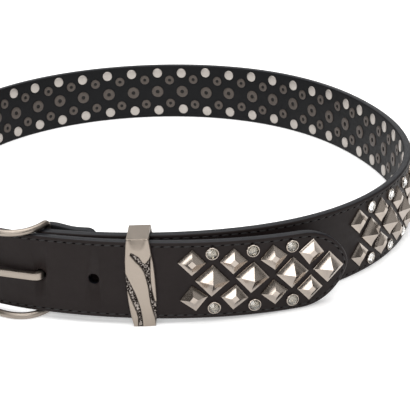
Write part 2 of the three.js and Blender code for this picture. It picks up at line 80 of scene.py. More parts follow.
HOLE_RADIUS = 2.5
HOLE_FLARE, HOLE_FLARE_DEPTH = 1.3, 0.8
PUNCH_LENGTH, PUNCH_AT = 5.0, -0.9
SLOT_FROM, SLOT_TO, SLOT_HALF_WIDTH = 18.5, 41.9, 2.3
GROOVE_FROM_EDGE, GROOVE_HALF_WIDTH, GROOVE_DEPTH = 2.0, 0.35, 0.3
FOLD_MARGIN = 2.0
FOLD_CUT, LENGTH_CUT = 0.8, 3.0

rod_radius = FRAME_ROD / 2
fold_radius = rod_radius + FIT + STRAP_THICKNESS / 2
outer_offset = STRAP_THICKNESS + GAP_AT_BUCKLE
free_length = FIRST_HOLE + HOLE_PITCH * (FASTENED_HOLE - 1)

turn = np.linspace(-math.pi / 2, 1.5 * math.pi, 1441)
waves = [a * np.cos(n * turn) + b * np.sin(n * turn) for n, a, b in LOOP_WAVES]
radius = 1 + sum(waves)
plan = np.stack([radius * np.cos(turn), radius * np.sin(turn)], axis=1)
travel = np.concatenate([[0], np.cumsum(np.hypot(*np.diff(plan, axis=0).T))])
plan *= WAIST_LENGTH / travel[-1]
travel *= WAIST_LENGTH / travel[-1]


def plan_at(distance):
    wrapped = distance % WAIST_LENGTH
    return np.array([np.interp(wrapped, travel, plan[:, 0]), np.interp(wrapped, travel, plan[:, 1])])


def loop_frame(distance):
    along = plan_at(distance + 1) - plan_at(distance - 1)
    along /= np.hypot(*along)
    return plan_at(distance), along, np.array([along[1], -along[0]])


def beside_loop(distance, offset):
    point, _, outward = loop_frame(distance)
    return point + outward * offset


def smooth_step(share):
    t = np.clip(share, 0, 1)
    return t * t * (3 - 2 * t)


def lift_at(distance):
    from_middle = distance - (BUCKLE_AT - FRAME_LENGTH / 2)
    half = WAIST_LENGTH / 2
    away = abs((from_middle + half) % WAIST_LENGTH - half)
    return (FRAME_ROD + FIT) * (1 - smooth_step((away - FRAME_LENGTH / 2) / LIFT_REACH))


course = []


def lead(point, distance, lean):
    course.append((point[0], point[1], lift_at(distance), lean))


tab_gap = STRAP_THICKNESS + FIT
for d in np.arange(TAB_LENGTH, 0, -1):
    opened = 1 - smooth_step(d / TAB_CLOSING)
    lead(beside_loop(BUCKLE_AT + d, -(tab_gap + (2 * fold_radius - tab_gap) * opened)), BUCKLE_AT + d, 0)
_, bar_along, bar_out = loop_frame(BUCKLE_AT)
bar_centre = beside_loop(BUCKLE_AT, -fold_radius)
for step in range(12):
    bend = math.pi * step / 12
    round_bar = -fold_radius * (bar_along * math.sin(bend) + bar_out * math.cos(bend))
    lead(bar_centre + round_bar, BUCKLE_AT, 0)
for d in np.arange(0, WAIST_LENGTH):
    merged = smooth_step((d - (WAIST_LENGTH - MERGE_REACH)) / (MERGE_REACH - FRAME_LENGTH))
    lead(beside_loop(BUCKLE_AT + d, outer_offset * merged), BUCKLE_AT + d, LEAN_AT_BUCKLE * merged)
travelled, last, d = 0.0, beside_loop(BUCKLE_AT, outer_offset), 0.0
while travelled < free_length:
    share = travelled / free_length
    gap = GAP_AT_BUCKLE + (GAP_AT_TIP - GAP_AT_BUCKLE) * share**GAP_GROWTH
    point = beside_loop(BUCKLE_AT + d, STRAP_THICKNESS + gap)
    travelled += np.hypot(*(point - last))
    last = point
    lead(point, BUCKLE_AT + d, LEAN_AT_BUCKLE + (LEAN_AT_TIP - LEAN_AT_BUCKLE) * share)
    d += 0.5
course = np.array(course)
run = np.concatenate([[0], np.cumsum(np.hypot(*np.diff(course[:, :2], axis=0).T))])
strap_length = run[-1]
main_start = TAB_LENGTH + math.pi * fold_radius


def strap_frames(lengths):
    i = np.clip(np.searchsorted(run, lengths), 1, len(run) - 1)
    share = ((lengths - run[i - 1]) / (run[i] - run[i - 1]))[:, None]
    place = course[i - 1] + (course[i] - course[i - 1]) * share
    along = course[np.minimum(i + 2, len(run) - 1), :2] - course[np.maximum(i - 3, 0), :2]
    along /= np.hypot(along[:, 0], along[:, 1])[:, None]
    lean, level, zero = place[:, 3], place[:, 2] + STRAP_WIDTH / 2, np.zeros(len(i))
    flat = np.stack([along[:, 1], -along[:, 0], zero], axis=1)
    rise = np.array([[0, 0, 1.0]])
    out = flat * np.cos(lean)[:, None] + rise * np.sin(lean)[:, None]
    up = -flat * np.sin(lean)[:, None] + rise * np.cos(lean)[:, None]
    origin = np.stack([place[:, 0], place[:, 1], level], axis=1) + np.array(LOOP_AT)
    return origin, np.stack([along[:, 0], along[:, 1], zero], axis=1), out, up


def lay_on_course(piece):
    flat = np.zeros(len(piece.data.vertices) * 3)
    piece.data.vertices.foreach_get("co", flat)
    flat = flat.reshape(-1, 3)
    origin, _, out, up = strap_frames(flat[:, 0])
    laid = (origin + up * flat[:, 1:2] + out * flat[:, 2:3]) * MM
    piece.data.vertices.foreach_set("co", laid.ravel())
    piece.data.update()


def place_on_strap(length, row, clear, inside=False):
    origin, along, out, up = (v[0] for v in strap_frames(np.array([length])))
    side = -1 if inside else 1
    foot = (origin + up * row + out * side * (STRAP_THICKNESS / 2 + clear)) * MM
    turned = Matrix((along * MM, up * MM * side, out * MM * side)).transposed().to_4x4()
    return Matrix.Translation(Vector(foot)) @ turned


def pick(piece, kind, test):
    bpy.ops.mesh.select_mode(type=kind)
    bpy.ops.mesh.select_all(action="DESELECT")
    shape = bmesh.from_edit_mesh(piece.data)
    for element in {"VERT": shape.verts, "EDGE": shape.edges, "FACE": shape.faces}[kind]:
        element.select_set(bool(test(element)))
    bmesh.update_edit_mesh(piece.data)


def start(name):
    piece = bpy.context.object
    piece.name = name
    piece.data.name = name
    bpy.ops.object.mode_set(mode="EDIT")
    return piece


def close(piece, angle):
    bpy.ops.object.mode_set(mode="OBJECT")
    bpy.ops.object.transform_apply(location=True, rotation=True, scale=True)
    bpy.ops.object.select_all(action="DESELECT")
    piece.select_set(True)
    bpy.context.view_layer.objects.active = piece
    bpy.ops.object.shade_smooth_by_angle(angle=math.radians(angle))


def use_modifier(piece, kind, **settings):
    modifier = piece.modifiers.new(kind.lower(), kind)
    for key, value in settings.items():
        setattr(modifier, key, value)
    bpy.context.view_layer.objects.active = piece
    bpy.ops.object.modifier_apply(modifier=modifier.name)


def tip_outline(count):
    swing = np.linspace(-math.pi / 2, math.pi / 2, count)
    reach = np.sign(swing) * np.abs(np.sin(swing)) ** TIP_ROUNDING * STRAP_WIDTH / 2
    return np.stack([strap_length - TIP_TAPER * (1 - np.cos(swing)), reach], axis=1)


bpy.ops.object.select_all(action="DESELECT")
bpy.ops.mesh.primitive_plane_add(size=1)
strap = start("leather_strap")
bpy.ops.transform.resize(value=(strap_length, STRAP_WIDTH, 1))
bpy.ops.transform.translate(value=(strap_length / 2, 0, STRAP_THICKNESS / 2))
pick(strap, "VERT", lambda v: v.co.x < 0.01)
bpy.ops.mesh.bevel(offset=TAB_CORNER, segments=5, affect="VERTICES")
pick(strap, "EDGE", lambda e: all(v.co.x > strap_length - 0.01 for v in e.verts))
bpy.ops.mesh.subdivide(number_cuts=47)
shape = bmesh.from_edit_mesh(strap.data)
end = sorted((v for v in shape.verts if v.co.x > strap_length - 0.01), key=lambda v: v.co.y)
for vertex, (x, y) in zip(end, tip_outline(len(end))):
    vertex.co.x, vertex.co.y = x, y
bmesh.update_edit_mesh(strap.data)
bpy.ops.mesh.select_all(action="SELECT")
bpy.ops.mesh.extrude_region_move(TRANSFORM_OT_translate={"value": (0, 0, -STRAP_THICKNESS)})
bpy.ops.mesh.select_all(action="SELECT")
bpy.ops.mesh.normals_make_consistent(inside=False)
pick(strap, "EDGE", lambda e: abs(e.verts[0].co.z - e.verts[1].co.z) < 0.01)
bpy.ops.mesh.bevel(offset=STRAP_BEVEL, segments=4, affect="EDGES", clamp_overlap=False)
pick(strap, "FACE", lambda f: f.normal.z > 0.99 and f.calc_area() > 1000)
bpy.ops.mesh.inset(thickness=GROOVE_FROM_EDGE - GROOVE_HALF_WIDTH - STRAP_BEVEL)
bpy.ops.mesh.inset(thickness=GROOVE_HALF_WIDTH, depth=-GROOVE_DEPTH)
bpy.ops.mesh.inset(thickness=GROOVE_HALF_WIDTH, depth=GROOVE_DEPTH)
tab_cuts = np.arange(LENGTH_CUT, TAB_LENGTH - FOLD_MARGIN, LENGTH_CUT)
fold_cuts = np.arange(TAB_LENGTH - FOLD_MARGIN, main_start + FOLD_MARGIN, FOLD_CUT)
main_cuts = np.arange(main_start + LENGTH_CUT, strap_length, LENGTH_CUT)
for x in [*tab_cuts, *fold_cuts, *main_cuts]:
    bpy.ops.mesh.select_all(action="SELECT")
    bpy.ops.mesh.bisect(plane_co=(x, 0, 0), plane_no=(1, 0, 0))
close(strap, 40)

punches = []
for hole in range(HOLE_COUNT):
    x = strap_length - FIRST_HOLE - HOLE_PITCH * hole
    bpy.ops.object.select_all(action="DESELECT")
    bpy.ops.mesh.primitive_cylinder_add(
        vertices=36, radius=HOLE_RADIUS, depth=PUNCH_LENGTH, location=(x, 0, PUNCH_AT)
    )
    punch = start("punch")
    pick(punch, "FACE", lambda f: f.normal.z > 0.99)
    bpy.ops.mesh.extrude_region_move(TRANSFORM_OT_translate={"value": (0, 0, HOLE_FLARE_DEPTH)})
    bpy.ops.transform.resize(value=(HOLE_FLARE, HOLE_FLARE, 1))
    close(punch, 40)
    punches.append(punch)
bpy.ops.object.select_all(action="DESELECT")
bpy.ops.mesh.primitive_cube_add(size=1)
slot_punch = start("slot_punch")
bpy.ops.transform.resize(value=(SLOT_TO - SLOT_FROM, 2 * SLOT_HALF_WIDTH, 2 * STRAP_THICKNESS))
bpy.ops.transform.translate(value=((SLOT_TO + SLOT_FROM) / 2, 0, 0))
pick(slot_punch, "EDGE", lambda e: abs(e.verts[0].co.z - e.verts[1].co.z) > 1)
bpy.ops.mesh.bevel(offset=SLOT_HALF_WIDTH * 0.98, segments=6, affect="EDGES")
close(slot_punch, 40)
for punch in punches:
    punch.select_set(True)
bpy.ops.object.join()
use_modifier(strap, "BOOLEAN", operation="DIFFERENCE", solver="EXACT", object=slot_punch)
bpy.data.objects.remove(slot_punch)

across = strap.data.uv_layers.new(name="millimetres")
for face in strap.data.polygons:
    for corner in face.loop_indices:
        co = strap.data.vertices[strap.data.loops[corner].vertex_index].co
        across.data[corner].uv = (co.x, co.y if abs(face.normal.z) > 0.5 else co.z)
    outside = face.normal.z > 0.6 and face.center.z > 0.3 * STRAP_THICKNESS
    lining = face.normal.z < -0.6 and face.center.z < -0.3 * STRAP_THICKNESS
    face.material_index = 0 if outside else 1 if lining else 2


def new_finish(name, color, roughness, metallic=0.0):
    finish = bpy.data.materials.new(name)
    finish.use_nodes = True
    shader = finish.node_tree.nodes["Principled BSDF"]
    shader.inputs["Base Color"].default_value = (*color, 1)
    shader.inputs["Roughness"].default_value = roughness
    shader.inputs["Metallic"].default_value = metallic
    return finish, finish.node_tree.nodes, finish.node_tree.links, shader


def object_place(nodes):
    return nodes.new("ShaderNodeTexCoord").outputs["Object"]


def strap_place(nodes):
    millimetres = nodes.new("ShaderNodeUVMap")
    millimetres.uv_map = "millimetres"
    return millimetres.outputs["UV"]


def spread(nodes, links, value, low, high, socket):
    ramp = nodes.new("ShaderNodeMapRange")
    ramp.inputs["From Min"].default_value = 0.3
    ramp.inputs["From Max"].default_value = 0.7
    ramp.inputs["To Min"].default_value = low
    ramp.inputs["To Max"].default_value = high
    links.new(value, ramp.inputs["Value"])
    links.new(ramp.outputs["Result"], socket)


def tint(nodes, links, value, dark, light, socket):
    mix = nodes.new("ShaderNodeMix")
    mix.data_type = "RGBA"
    mix.inputs["A"].default_value = (*dark, 1)
    mix.inputs["B"].default_value = (*light, 1)
    links.new(value, mix.inputs["Factor"])
    links.new(mix.outputs["Result"], socket)
    return mix


def cloud(nodes, links, where, scale, detail=3.0, stretch=None):
    texture = nodes.new("ShaderNodeTexNoise")
    texture.inputs["Scale"].default_value = scale
    texture.inputs["Detail"].default_value = detail
    if stretch:
        turned = nodes.new("ShaderNodeMapping")
        turned.inputs["Scale"].default_value = stretch
        links.new(where, turned.inputs["Vector"])
        where = turned.outputs["Vector"]
    links.new(where, texture.inputs["Vector"])
    return texture.outputs["Fac"]


def relief(nodes, links, height, distance, strength, shader, before=None):
    bump = nodes.new("ShaderNodeBump")
    bump.inputs["Distance"].default_value = distance
    bump.inputs["Strength"].default_value = strength
    links.new(height, bump.inputs["Height"])
    if before:
        links.new(before, bump.inputs["Normal"])
    links.new(bump.outputs["Normal"], shader.inputs["Normal"])
    return bump.outputs["Normal"]


def leather(name, dark, light, smooth, rough, pore, sheen):
    finish, nodes, links, shader = new_finish(name, light, rough)
    where = strap_place(nodes)
    tint(nodes, links, cloud(nodes, links, where, 0.09, 4), dark, light, shader.inputs["Base Color"])
    patches = cloud(nodes, links, where, 0.35, 5)
    spread(nodes, links, patches, smooth, rough, shader.inputs["Roughness"])
    pores = nodes.new("ShaderNodeTexVoronoi")
    pores.inputs["Scale"].default_value = 1.7
    links.new(where, pores.inputs["Vector"])
    first = relief(nodes, links, pores.outputs["Distance"], pore, 0.35, shader)
    creases = cloud(nodes, links, where, 0.5, 6, (0.25, 1.0, 1.0))
    relief(nodes, links, creases, pore * 4, 0.25, shader, first)
    shader.inputs["Specular IOR Level"].default_value = sheen
    return finish


outer_leather = leather(
    "outer_leather", (0.0088, 0.0058, 0.0055), (0.0136, 0.0093, 0.0088), 0.40, 0.55, 0.00004, 0.14
)
lining_leather = leather(
    "lining_leather", (0.0050, 0.0051, 0.0058), (0.0078, 0.0078, 0.0086), 0.5, 0.62, 0.00003, 0.13
)
inked_edge, nodes, links, shader = new_finish("inked_edge", (0.014, 0.0145, 0.017), 0.4)
streaks = cloud(nodes, links, strap_place(nodes), 0.6, 5, (0.35, 3.0, 1.0))
tint(nodes, links, streaks, (0.004, 0.004, 0.005), (0.016, 0.017, 0.021), shader.inputs["Base Color"])
shader.inputs["Specular IOR Level"].default_value = 0.2
spread(nodes, links, streaks, 0.28, 0.5, shader.inputs["Roughness"])
relief(nodes, links, streaks, 0.0003, 0.4, shader)
for finish in (outer_leather, lining_leather, inked_edge):
    strap.data.materials.append(finish)
lay_on_course(strap)
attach(strap, "root")
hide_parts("strap")

# Stitching. Black waxed thread in the groove, two millimetres from the edge, down both sides of the
# strap and round its point. Each stitch is a short plump bar, a little aslant.
STITCH_PITCH = 4.4
STITCH_LENGTH = 3.3
STITCH_SLANT = 0.12
STITCH_STANDS = 0.16
THREAD, THREAD_FLATNESS = 0.95, 0.7
# Size and level of the painted shade for the awl holes: a dull black patch between stitches.
AWL_SHADE_LENGTH, AWL_SHADE_HEIGHT, AWL_SHADE_LEVEL = 2.0, 0.3, -0.02

tip = tip_outline(160)
heading = np.gradient(tip, axis=0)
heading /= np.hypot(heading[:, 0], heading[:, 1])[:, None]
tip_inset = tip + np.stack([-heading[:, 1], heading[:, 0]], axis=1) * GROOVE_FROM_EDGE
edge_row = STRAP_WIDTH / 2 - GROOVE_FROM_EDGE
seam = np.concatenate([[[GROOVE_FROM_EDGE, -edge_row]], tip_inset, [[GROOVE_FROM_EDGE, edge_row]]])
seam_run = np.concatenate([[0], np.cumsum(np.hypot(*np.diff(seam, axis=0).T))])

bpy.ops.object.select_all(action="DESELECT")
bpy.ops.mesh.primitive_uv_sphere_add(segments=6, ring_count=5, radius=0.5)
stitch = start("stitch")
bpy.ops.transform.rotate(value=math.pi / 2, orient_axis="Y", center_override=(0, 0, 0))
bpy.ops.transform.resize(value=(STITCH_LENGTH, THREAD, THREAD * THREAD_FLATNESS))
close(stitch, 60)
waxed_thread, nodes, links, shader = new_finish("waxed_thread", (0.012, 0.011, 0.011), 0.45)
shader.inputs["Specular IOR Level"].default_value = 0.25
where = object_place(nodes)
relief(nodes, links, cloud(nodes, links, where, 2600, 2), 0.0002, 0.5, shader)
stitch.data.materials.append(waxed_thread)

# Painted shade for the awl holes: a flat black ellipsoid with no gloss sits in the groove between each pair
# of stitches, in place of the shade inside the hole.
bpy.ops.object.select_all(action="DESELECT")
bpy.ops.mesh.primitive_uv_sphere_add(segments=6, ring_count=4, radius=0.5)
awl_hole_shade = start("awl_hole_shade")
bpy.ops.transform.resize(value=(AWL_SHADE_LENGTH, THREAD, AWL_SHADE_HEIGHT))
bpy.ops.transform.translate(value=(STITCH_PITCH / 2, 0, AWL_SHADE_LEVEL))
close(awl_hole_shade, 60)
painted_hole_shade, nodes, links, shader = new_finish("painted_hole_shade", (0.003, 0.0025, 0.0025), 1.0)
shader.inputs["Specular IOR Level"].default_value = 0.0
awl_hole_shade.data.materials.append(painted_hole_shade)


def copy_to(model, place, name):
    twin = model.copy()
    twin.data = model.data.copy()
    twin.name = name
    twin.data.name = name
    twin.data.transform(place)
    bpy.context.scene.collection.objects.link(twin)
    return twin


def join(pieces, name):
    bpy.ops.object.select_all(action="DESELECT")
    for piece in pieces:
        piece.select_set(True)
    bpy.context.view_layer.objects.active = pieces[0]
    bpy.ops.object.join()
    pieces[0].name = name
    pieces[0].data.name = name
    return pieces[0]


# Each stitch carries its painted awl-hole shade with it.
stitch = join([stitch, awl_hole_shade], "stitch")
stitches = []
for s in np.arange(STITCH_PITCH / 2, seam_run[-1], STITCH_PITCH):
    at = [np.interp(s, seam_run, seam[:, k]) for k in (0, 1)]
    ahead = [np.interp(s + 0.5, seam_run, seam[:, k]) for k in (0, 1)]
    slant = Matrix.Rotation(math.atan2(ahead[1] - at[1], ahead[0] - at[0]) + STITCH_SLANT, 4, "Z")
    level = STRAP_THICKNESS / 2 - GROOVE_DEPTH + STITCH_STANDS
    stitches.append(copy_to(stitch, Matrix.Translation((*at, level)) @ slant, "stitch"))
bpy.data.objects.remove(stitch)
stitching = join(stitches, "edge_stitching")
lay_on_course(stitching)
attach(stitching, "root")

# Large pyramid studs. Pewter-coloured metal in a square pyramid with crisp ridges, whose slopes are
# hollow and steepen towards the peak, set on its corner and riveted along the middle of the strap.
STUD_PITCH = 17.85
TIP_TO_FIRST_STUD = 10.9
TIP_COLUMNS = 8
FIELD_FROM_BUCKLE = 153.7
FIELD_TO_LAST_HOLE = 40.0
STUD_SKIRT = 0.7
STUD_SUNK = 0.3
STUD_EDGE_BREAK = 0.16
DISH_FADE = 1.5
LARGE_SWAY, SIDE_LARGE_SWAY = (1.6, 0.15), (1.0, 0.1)
LARGE_SIDE, LARGE_HEIGHT, LARGE_DISH = 11.2, 5.1, 2.2

field_start = main_start + FIELD_FROM_BUCKLE
last_hole = strap_length - FIRST_HOLE - HOLE_PITCH * (HOLE_COUNT - 1)
field_columns = int((last_hole - FIELD_TO_LAST_HOLE - field_start) // (STUD_PITCH / 2)) + 1
tip_columns = [strap_length - TIP_TO_FIRST_STUD - c * STUD_PITCH / 2 for c in range(TIP_COLUMNS)]
field = [field_start + c * STUD_PITCH / 2 for c in range(field_columns)]


def pyramid(name, side, height, dish, cuts, crown_from=1.0, crown_flatness=1.0):
    corner = side / math.sqrt(2)
    rise = height - STUD_SKIRT
    bpy.ops.object.select_all(action="DESELECT")
    bpy.ops.mesh.primitive_cone_add(
        vertices=4, radius1=corner, radius2=0, depth=rise, location=(0, 0, STUD_SKIRT + rise / 2)
    )
    bpy.ops.object.transform_apply(location=True)
    stud = start(name)
    pick(stud, "FACE", lambda f: f.normal.z > 0.05)
    bpy.ops.mesh.subdivide(number_cuts=cuts)
    shape = bmesh.from_edit_mesh(stud.data)
    for vertex in shape.verts:
        t = (vertex.co.z - STUD_SKIRT) / rise
        if 0 < t < 0.999:
            vertex.co.z -= dish * t * (1 - t) ** DISH_FADE
        if t > crown_from:
            vertex.co.z -= (t - crown_from) * rise * (1 - crown_flatness)
    bmesh.update_edit_mesh(stud.data)
    pick(stud, "FACE", lambda f: f.normal.z < -0.9)
    bpy.ops.mesh.extrude_region_move(TRANSFORM_OT_translate={"value": (0, 0, -STUD_SKIRT - STUD_SUNK)})
    pick(stud, "EDGE", lambda e: all(abs(v.co.z - STUD_SKIRT) < 0.01 for v in e.verts))
    bpy.ops.mesh.bevel(offset=STUD_EDGE_BREAK, segments=1, affect="EDGES")
    return stud


large_stud = pyramid("large_stud", LARGE_SIDE, LARGE_HEIGHT, LARGE_DISH, 5)
close(large_stud, 24)
pewter, nodes, links, shader = new_finish("pewter", (0.45, 0.375, 0.315), 0.2, 1.0)
where = object_place(nodes)
tarnish = cloud(nodes, links, where, 420, 5)
tint(nodes, links, tarnish, (0.345, 0.30, 0.262), (0.42, 0.37, 0.325), shader.inputs["Base Color"])
spread(nodes, links, tarnish, 0.14, 0.2, shader.inputs["Roughness"])
relief(nodes, links, cloud(nodes, links, where, 1500, 3), 0.00001, 0.025, shader)
large_stud.data.materials.append(pewter)

rng = np.random.default_rng(11)


def hand_set(swing, shift):
    turn_by, dx, dy = rng.normal(0, swing), rng.normal(0, shift), rng.normal(0, shift)
    return Matrix.Translation((dx, dy, 0)) @ Matrix.Rotation(math.radians(turn_by), 4, "Z")


def both_rows(columns, row):
    return [(length, side) for length in columns for side in (row, -row)]


def dress(piece, node):
    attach(piece, "root")
    if node:
        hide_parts(node)


# How the studs of the point were set by hand: turn in degrees, then shift along and up the strap.
LARGE_SET = [(-4, 0, 0), (-3, 0.1, 0.5), (-7, -0.5, 0.5), (-5, -0.6, 0.15)]


def set_by(turn_by, along, up):
    return Matrix.Translation((along, up, 0)) @ Matrix.Rotation(math.radians(turn_by), 4, "Z")


stud_backs = {"large": [], "small": [], "crystal": []}
for count, length in enumerate(tip_columns[0::2], 1):
    place = place_on_strap(length, 0, 0) @ set_by(*LARGE_SET[count - 1])
    dress(copy_to(large_stud, place, f"large_pyramid_tip_{count}"), f"tip_large_stud_{count}")
    stud_backs["large"].append((length, 0))
stud_backs["large"] += [(length, 0) for length in field[1::2]]
place = place_on_strap(field[1], 0, 0) @ hand_set(*SIDE_LARGE_SWAY)
dress(copy_to(large_stud, place, "large_pyramid_side_1"), "side_large_stud_1")
rest = [place_on_strap(length, 0, 0) @ hand_set(*LARGE_SWAY) for length in field[3::2]]
large_field = join([copy_to(large_stud, place, "large_pyramid") for place in rest], "large_pyramids_field")
dress(large_field, None)
bpy.data.objects.remove(large_stud)

# Small pyramid studs. The same metal, lower and each ended in a small flat crown, two to a column
# between the large ones.
SMALL_SIDE, SMALL_HEIGHT, SMALL_DISH = 9.1, 4.2, 1.5
CROWN_FROM, CROWN_FLATNESS = 5 / 7, 0.12
SMALL_ROW = 8.7
SMALL_SWAY, SIDE_SMALL_SWAY = (1.8, 0.18), (1.2, 0.12)

small_stud = pyramid("small_stud", SMALL_SIDE, SMALL_HEIGHT, SMALL_DISH, 6, CROWN_FROM, CROWN_FLATNESS)
close(small_stud, 16)
small_stud.data.materials.append(pewter)
SMALL_SET = [(-10, 0.4, 0.6), (-5, -0.4, 0), (3, 0.6, 0.6), (1.5, 0.5, 0.6),
             (-4, 0.3, 0.5), (-8.5, 0.1, 0.1), (-3.5, -0.2, 0.6), (6, -0.2, 0.4)]
for count, spot in enumerate(both_rows(tip_columns[1::2], SMALL_ROW), 1):
    place = place_on_strap(*spot, 0) @ set_by(*SMALL_SET[count - 1])
    dress(copy_to(small_stud, place, f"small_pyramid_tip_{count}"), f"tip_small_stud_{count}")
    stud_backs["small"].append(spot)
for count, row in enumerate((SMALL_ROW, -SMALL_ROW), 1):
    place = place_on_strap(field[0], row, 0) @ hand_set(*SIDE_SMALL_SWAY)
    dress(copy_to(small_stud, place, f"small_pyramid_side_{count}"), f"side_small_stud_{count}")
stud_backs["small"] += both_rows(field[0::2], SMALL_ROW)
rest = [place_on_strap(*spot, 0) @ hand_set(*SMALL_SWAY) for spot in both_rows(field[2::2], SMALL_ROW)]
small_field = join([copy_to(small_stud, place, "small_pyramid") for place in rest], "small_pyramids_field")
dress(small_field, None)
bpy.data.objects.remove(small_stud)

# Crystals. A cut stone of clear glass, foiled behind, held in a thin round collar that is riveted
# through the strap above and below each large stud.
CRYSTAL_ROW = 13.5
COLLAR_RADIUS, COLLAR_HEIGHT = 3.0, 1.0
STONE_RADIUS, STONE_TOP = 2.6, 2.0
RIM_BREAK = 0.14
SETTING_STEP, SETTING_DEPTH, SETTING_POINT = 0.2, 0.7, 0.04
GIRDLE, STONE_SKIRT = 0.85, 0.1
CRYSTAL_SWAY, FIELD_CRYSTAL_SWAY = (20, 0.1), (20, 0.15)
CROWN_CUTS = [(8, 0.0, 38, 1.0), (8, 22.5, 21, 0.46), (16, 11.25, 47, 1.03)]

bpy.ops.object.select_all(action="DESELECT")
collar_middle = (COLLAR_HEIGHT - STUD_SUNK) / 2
bpy.ops.mesh.primitive_cylinder_add(
    vertices=20, radius=COLLAR_RADIUS, depth=COLLAR_HEIGHT + STUD_SUNK, location=(0, 0, collar_middle)
)
bpy.ops.object.transform_apply(location=True)
collar = start("collar")
pick(collar, "FACE", lambda f: f.normal.z > 0.9)
bpy.ops.mesh.inset(thickness=COLLAR_RADIUS - STONE_RADIUS)
bpy.ops.mesh.extrude_region_move(TRANSFORM_OT_translate={"value": (0, 0, -SETTING_STEP)})
bpy.ops.mesh.extrude_region_move(TRANSFORM_OT_translate={"value": (0, 0, -SETTING_DEPTH)})
bpy.ops.transform.resize(value=(SETTING_POINT, SETTING_POINT, 1))
rim = COLLAR_RADIUS - 0.1
pick(
    collar,
    "EDGE",
    lambda e: all(abs(v.co.z - COLLAR_HEIGHT) < 0.01 and v.co.xy.length > rim for v in e.verts),
)
bpy.ops.mesh.bevel(offset=RIM_BREAK, segments=1, affect="EDGES")
close(collar, 30)
collar.data.materials.append(pewter)
foil, nodes, links, shader = new_finish("foil", (0.26, 0.235, 0.195), 0.12, 1.0)
where = object_place(nodes)
creased = cloud(nodes, links, where, 1800, 2)
tint(nodes, links, creased, (0.10, 0.088, 0.07), (0.42, 0.385, 0.32), shader.inputs["Base Color"])
relief(nodes, links, creased, 0.0002, 0.5, shader)
collar.data.materials.append(foil)
for face in collar.data.polygons:
    if face.center.xy.length < STONE_RADIUS + 0.01 and 0 < face.center.z < COLLAR_HEIGHT - 0.15:
        face.material_index = 1

stone_foot = GIRDLE - STONE_SKIRT
bpy.ops.object.select_all(action="DESELECT")
bpy.ops.mesh.primitive_cylinder_add(
    vertices=16,
    radius=STONE_RADIUS,
    depth=STONE_TOP - stone_foot,
    location=(0, 0, (STONE_TOP + stone_foot) / 2),
)
bpy.ops.object.transform_apply(location=True)
stone = start("stone")
for cuts, first, tilt, reach in CROWN_CUTS:
    for k in range(cuts):
        around = math.radians(first + 360 / cuts * k)
        lean = math.radians(tilt)
        facing = (math.sin(lean) * math.cos(around), math.sin(lean) * math.sin(around), math.cos(lean))
        level = GIRDLE if reach > 0.9 else STONE_TOP
        at = (STONE_RADIUS * reach * math.cos(around), STONE_RADIUS * reach * math.sin(around), level)
        bpy.ops.mesh.select_all(action="SELECT")
        bpy.ops.mesh.bisect(plane_co=at, plane_no=facing, use_fill=True, clear_outer=True)
close(stone, 5)
cut_glass, nodes, links, shader = new_finish("cut_glass", (0.93, 0.92, 0.90), 0.02)
shader.inputs["Transmission Weight"].default_value = 1.0
shader.inputs["IOR"].default_value = 1.62
stone.data.materials.append(cut_glass)
crystal = join([collar, stone], "crystal")

for count, spot in enumerate(both_rows(tip_columns[2::2], CRYSTAL_ROW), 1):
    place = place_on_strap(*spot, 0) @ hand_set(*CRYSTAL_SWAY)
    dress(copy_to(crystal, place, f"crystal_stud_tip_{count}"), f"tip_crystal_{count}")
    stud_backs["crystal"].append(spot)
for count, row in enumerate((CRYSTAL_ROW, -CRYSTAL_ROW), 1):
    place = place_on_strap(field[1], row, 0) @ hand_set(*CRYSTAL_SWAY)
    dress(copy_to(crystal, place, f"crystal_stud_side_{count}"), f"side_crystal_{count}")
stud_backs["crystal"] += both_rows(field[1::2], CRYSTAL_ROW)
rest = both_rows(field[3::2], CRYSTAL_ROW)
rest = [place_on_strap(*spot, 0) @ hand_set(*FIELD_CRYSTAL_SWAY) for spot in rest]
dress(join([copy_to(crystal, place, "crystal") for place in rest], "crystal_studs_field"), None)
bpy.data.objects.remove(crystal)

# Rivet backs. On the lining, each pyramid ends in a flat grey washer with a small bore, whose
# near-black colour is painted shade, and each crystal in a bright, slightly domed cap. They were set
# by hand and don't line up exactly.
BACKS = {"large": (4.1, 1.35), "small": (3.2, 1.1), "crystal": (3.3, 0.0)}
BACK_HEIGHT, BACK_SUNK, BACK_ROUND = 0.55, 0.3, 0.28
BORE_LIP, BORE_LIP_DEPTH, BORE_DEPTH = 0.25, 0.12, 0.4
CAP_STEPS = [(1.1, 0.14), (1.0, 0.06)]
BACK_SHIFT = 0.3


def rivet_back(name, radius, bore):
    bpy.ops.object.select_all(action="DESELECT")
    middle = (BACK_HEIGHT - BACK_SUNK) / 2
    bpy.ops.mesh.primitive_cylinder_add(
        vertices=24, radius=radius, depth=BACK_HEIGHT + BACK_SUNK, location=(0, 0, middle)
    )
    bpy.ops.object.transform_apply(location=True)
    back = start(name)
    pick(back, "EDGE", lambda e: all(v.co.z > BACK_HEIGHT - 0.01 for v in e.verts))
    bpy.ops.mesh.bevel(offset=BACK_ROUND, segments=2, affect="EDGES")
    pick(back, "FACE", lambda f: f.normal.z > 0.99)
    if bore:
        bpy.ops.mesh.inset(thickness=radius - BACK_ROUND - bore - BORE_LIP)
        bpy.ops.mesh.inset(thickness=BORE_LIP, depth=-BORE_LIP_DEPTH)
        bpy.ops.mesh.extrude_region_move(TRANSFORM_OT_translate={"value": (0, 0, -BORE_DEPTH)})
    else:
        for inward, rise in CAP_STEPS:
            bpy.ops.mesh.inset(thickness=inward, depth=rise)
    close(back, 35 if bore else 50)
    return back


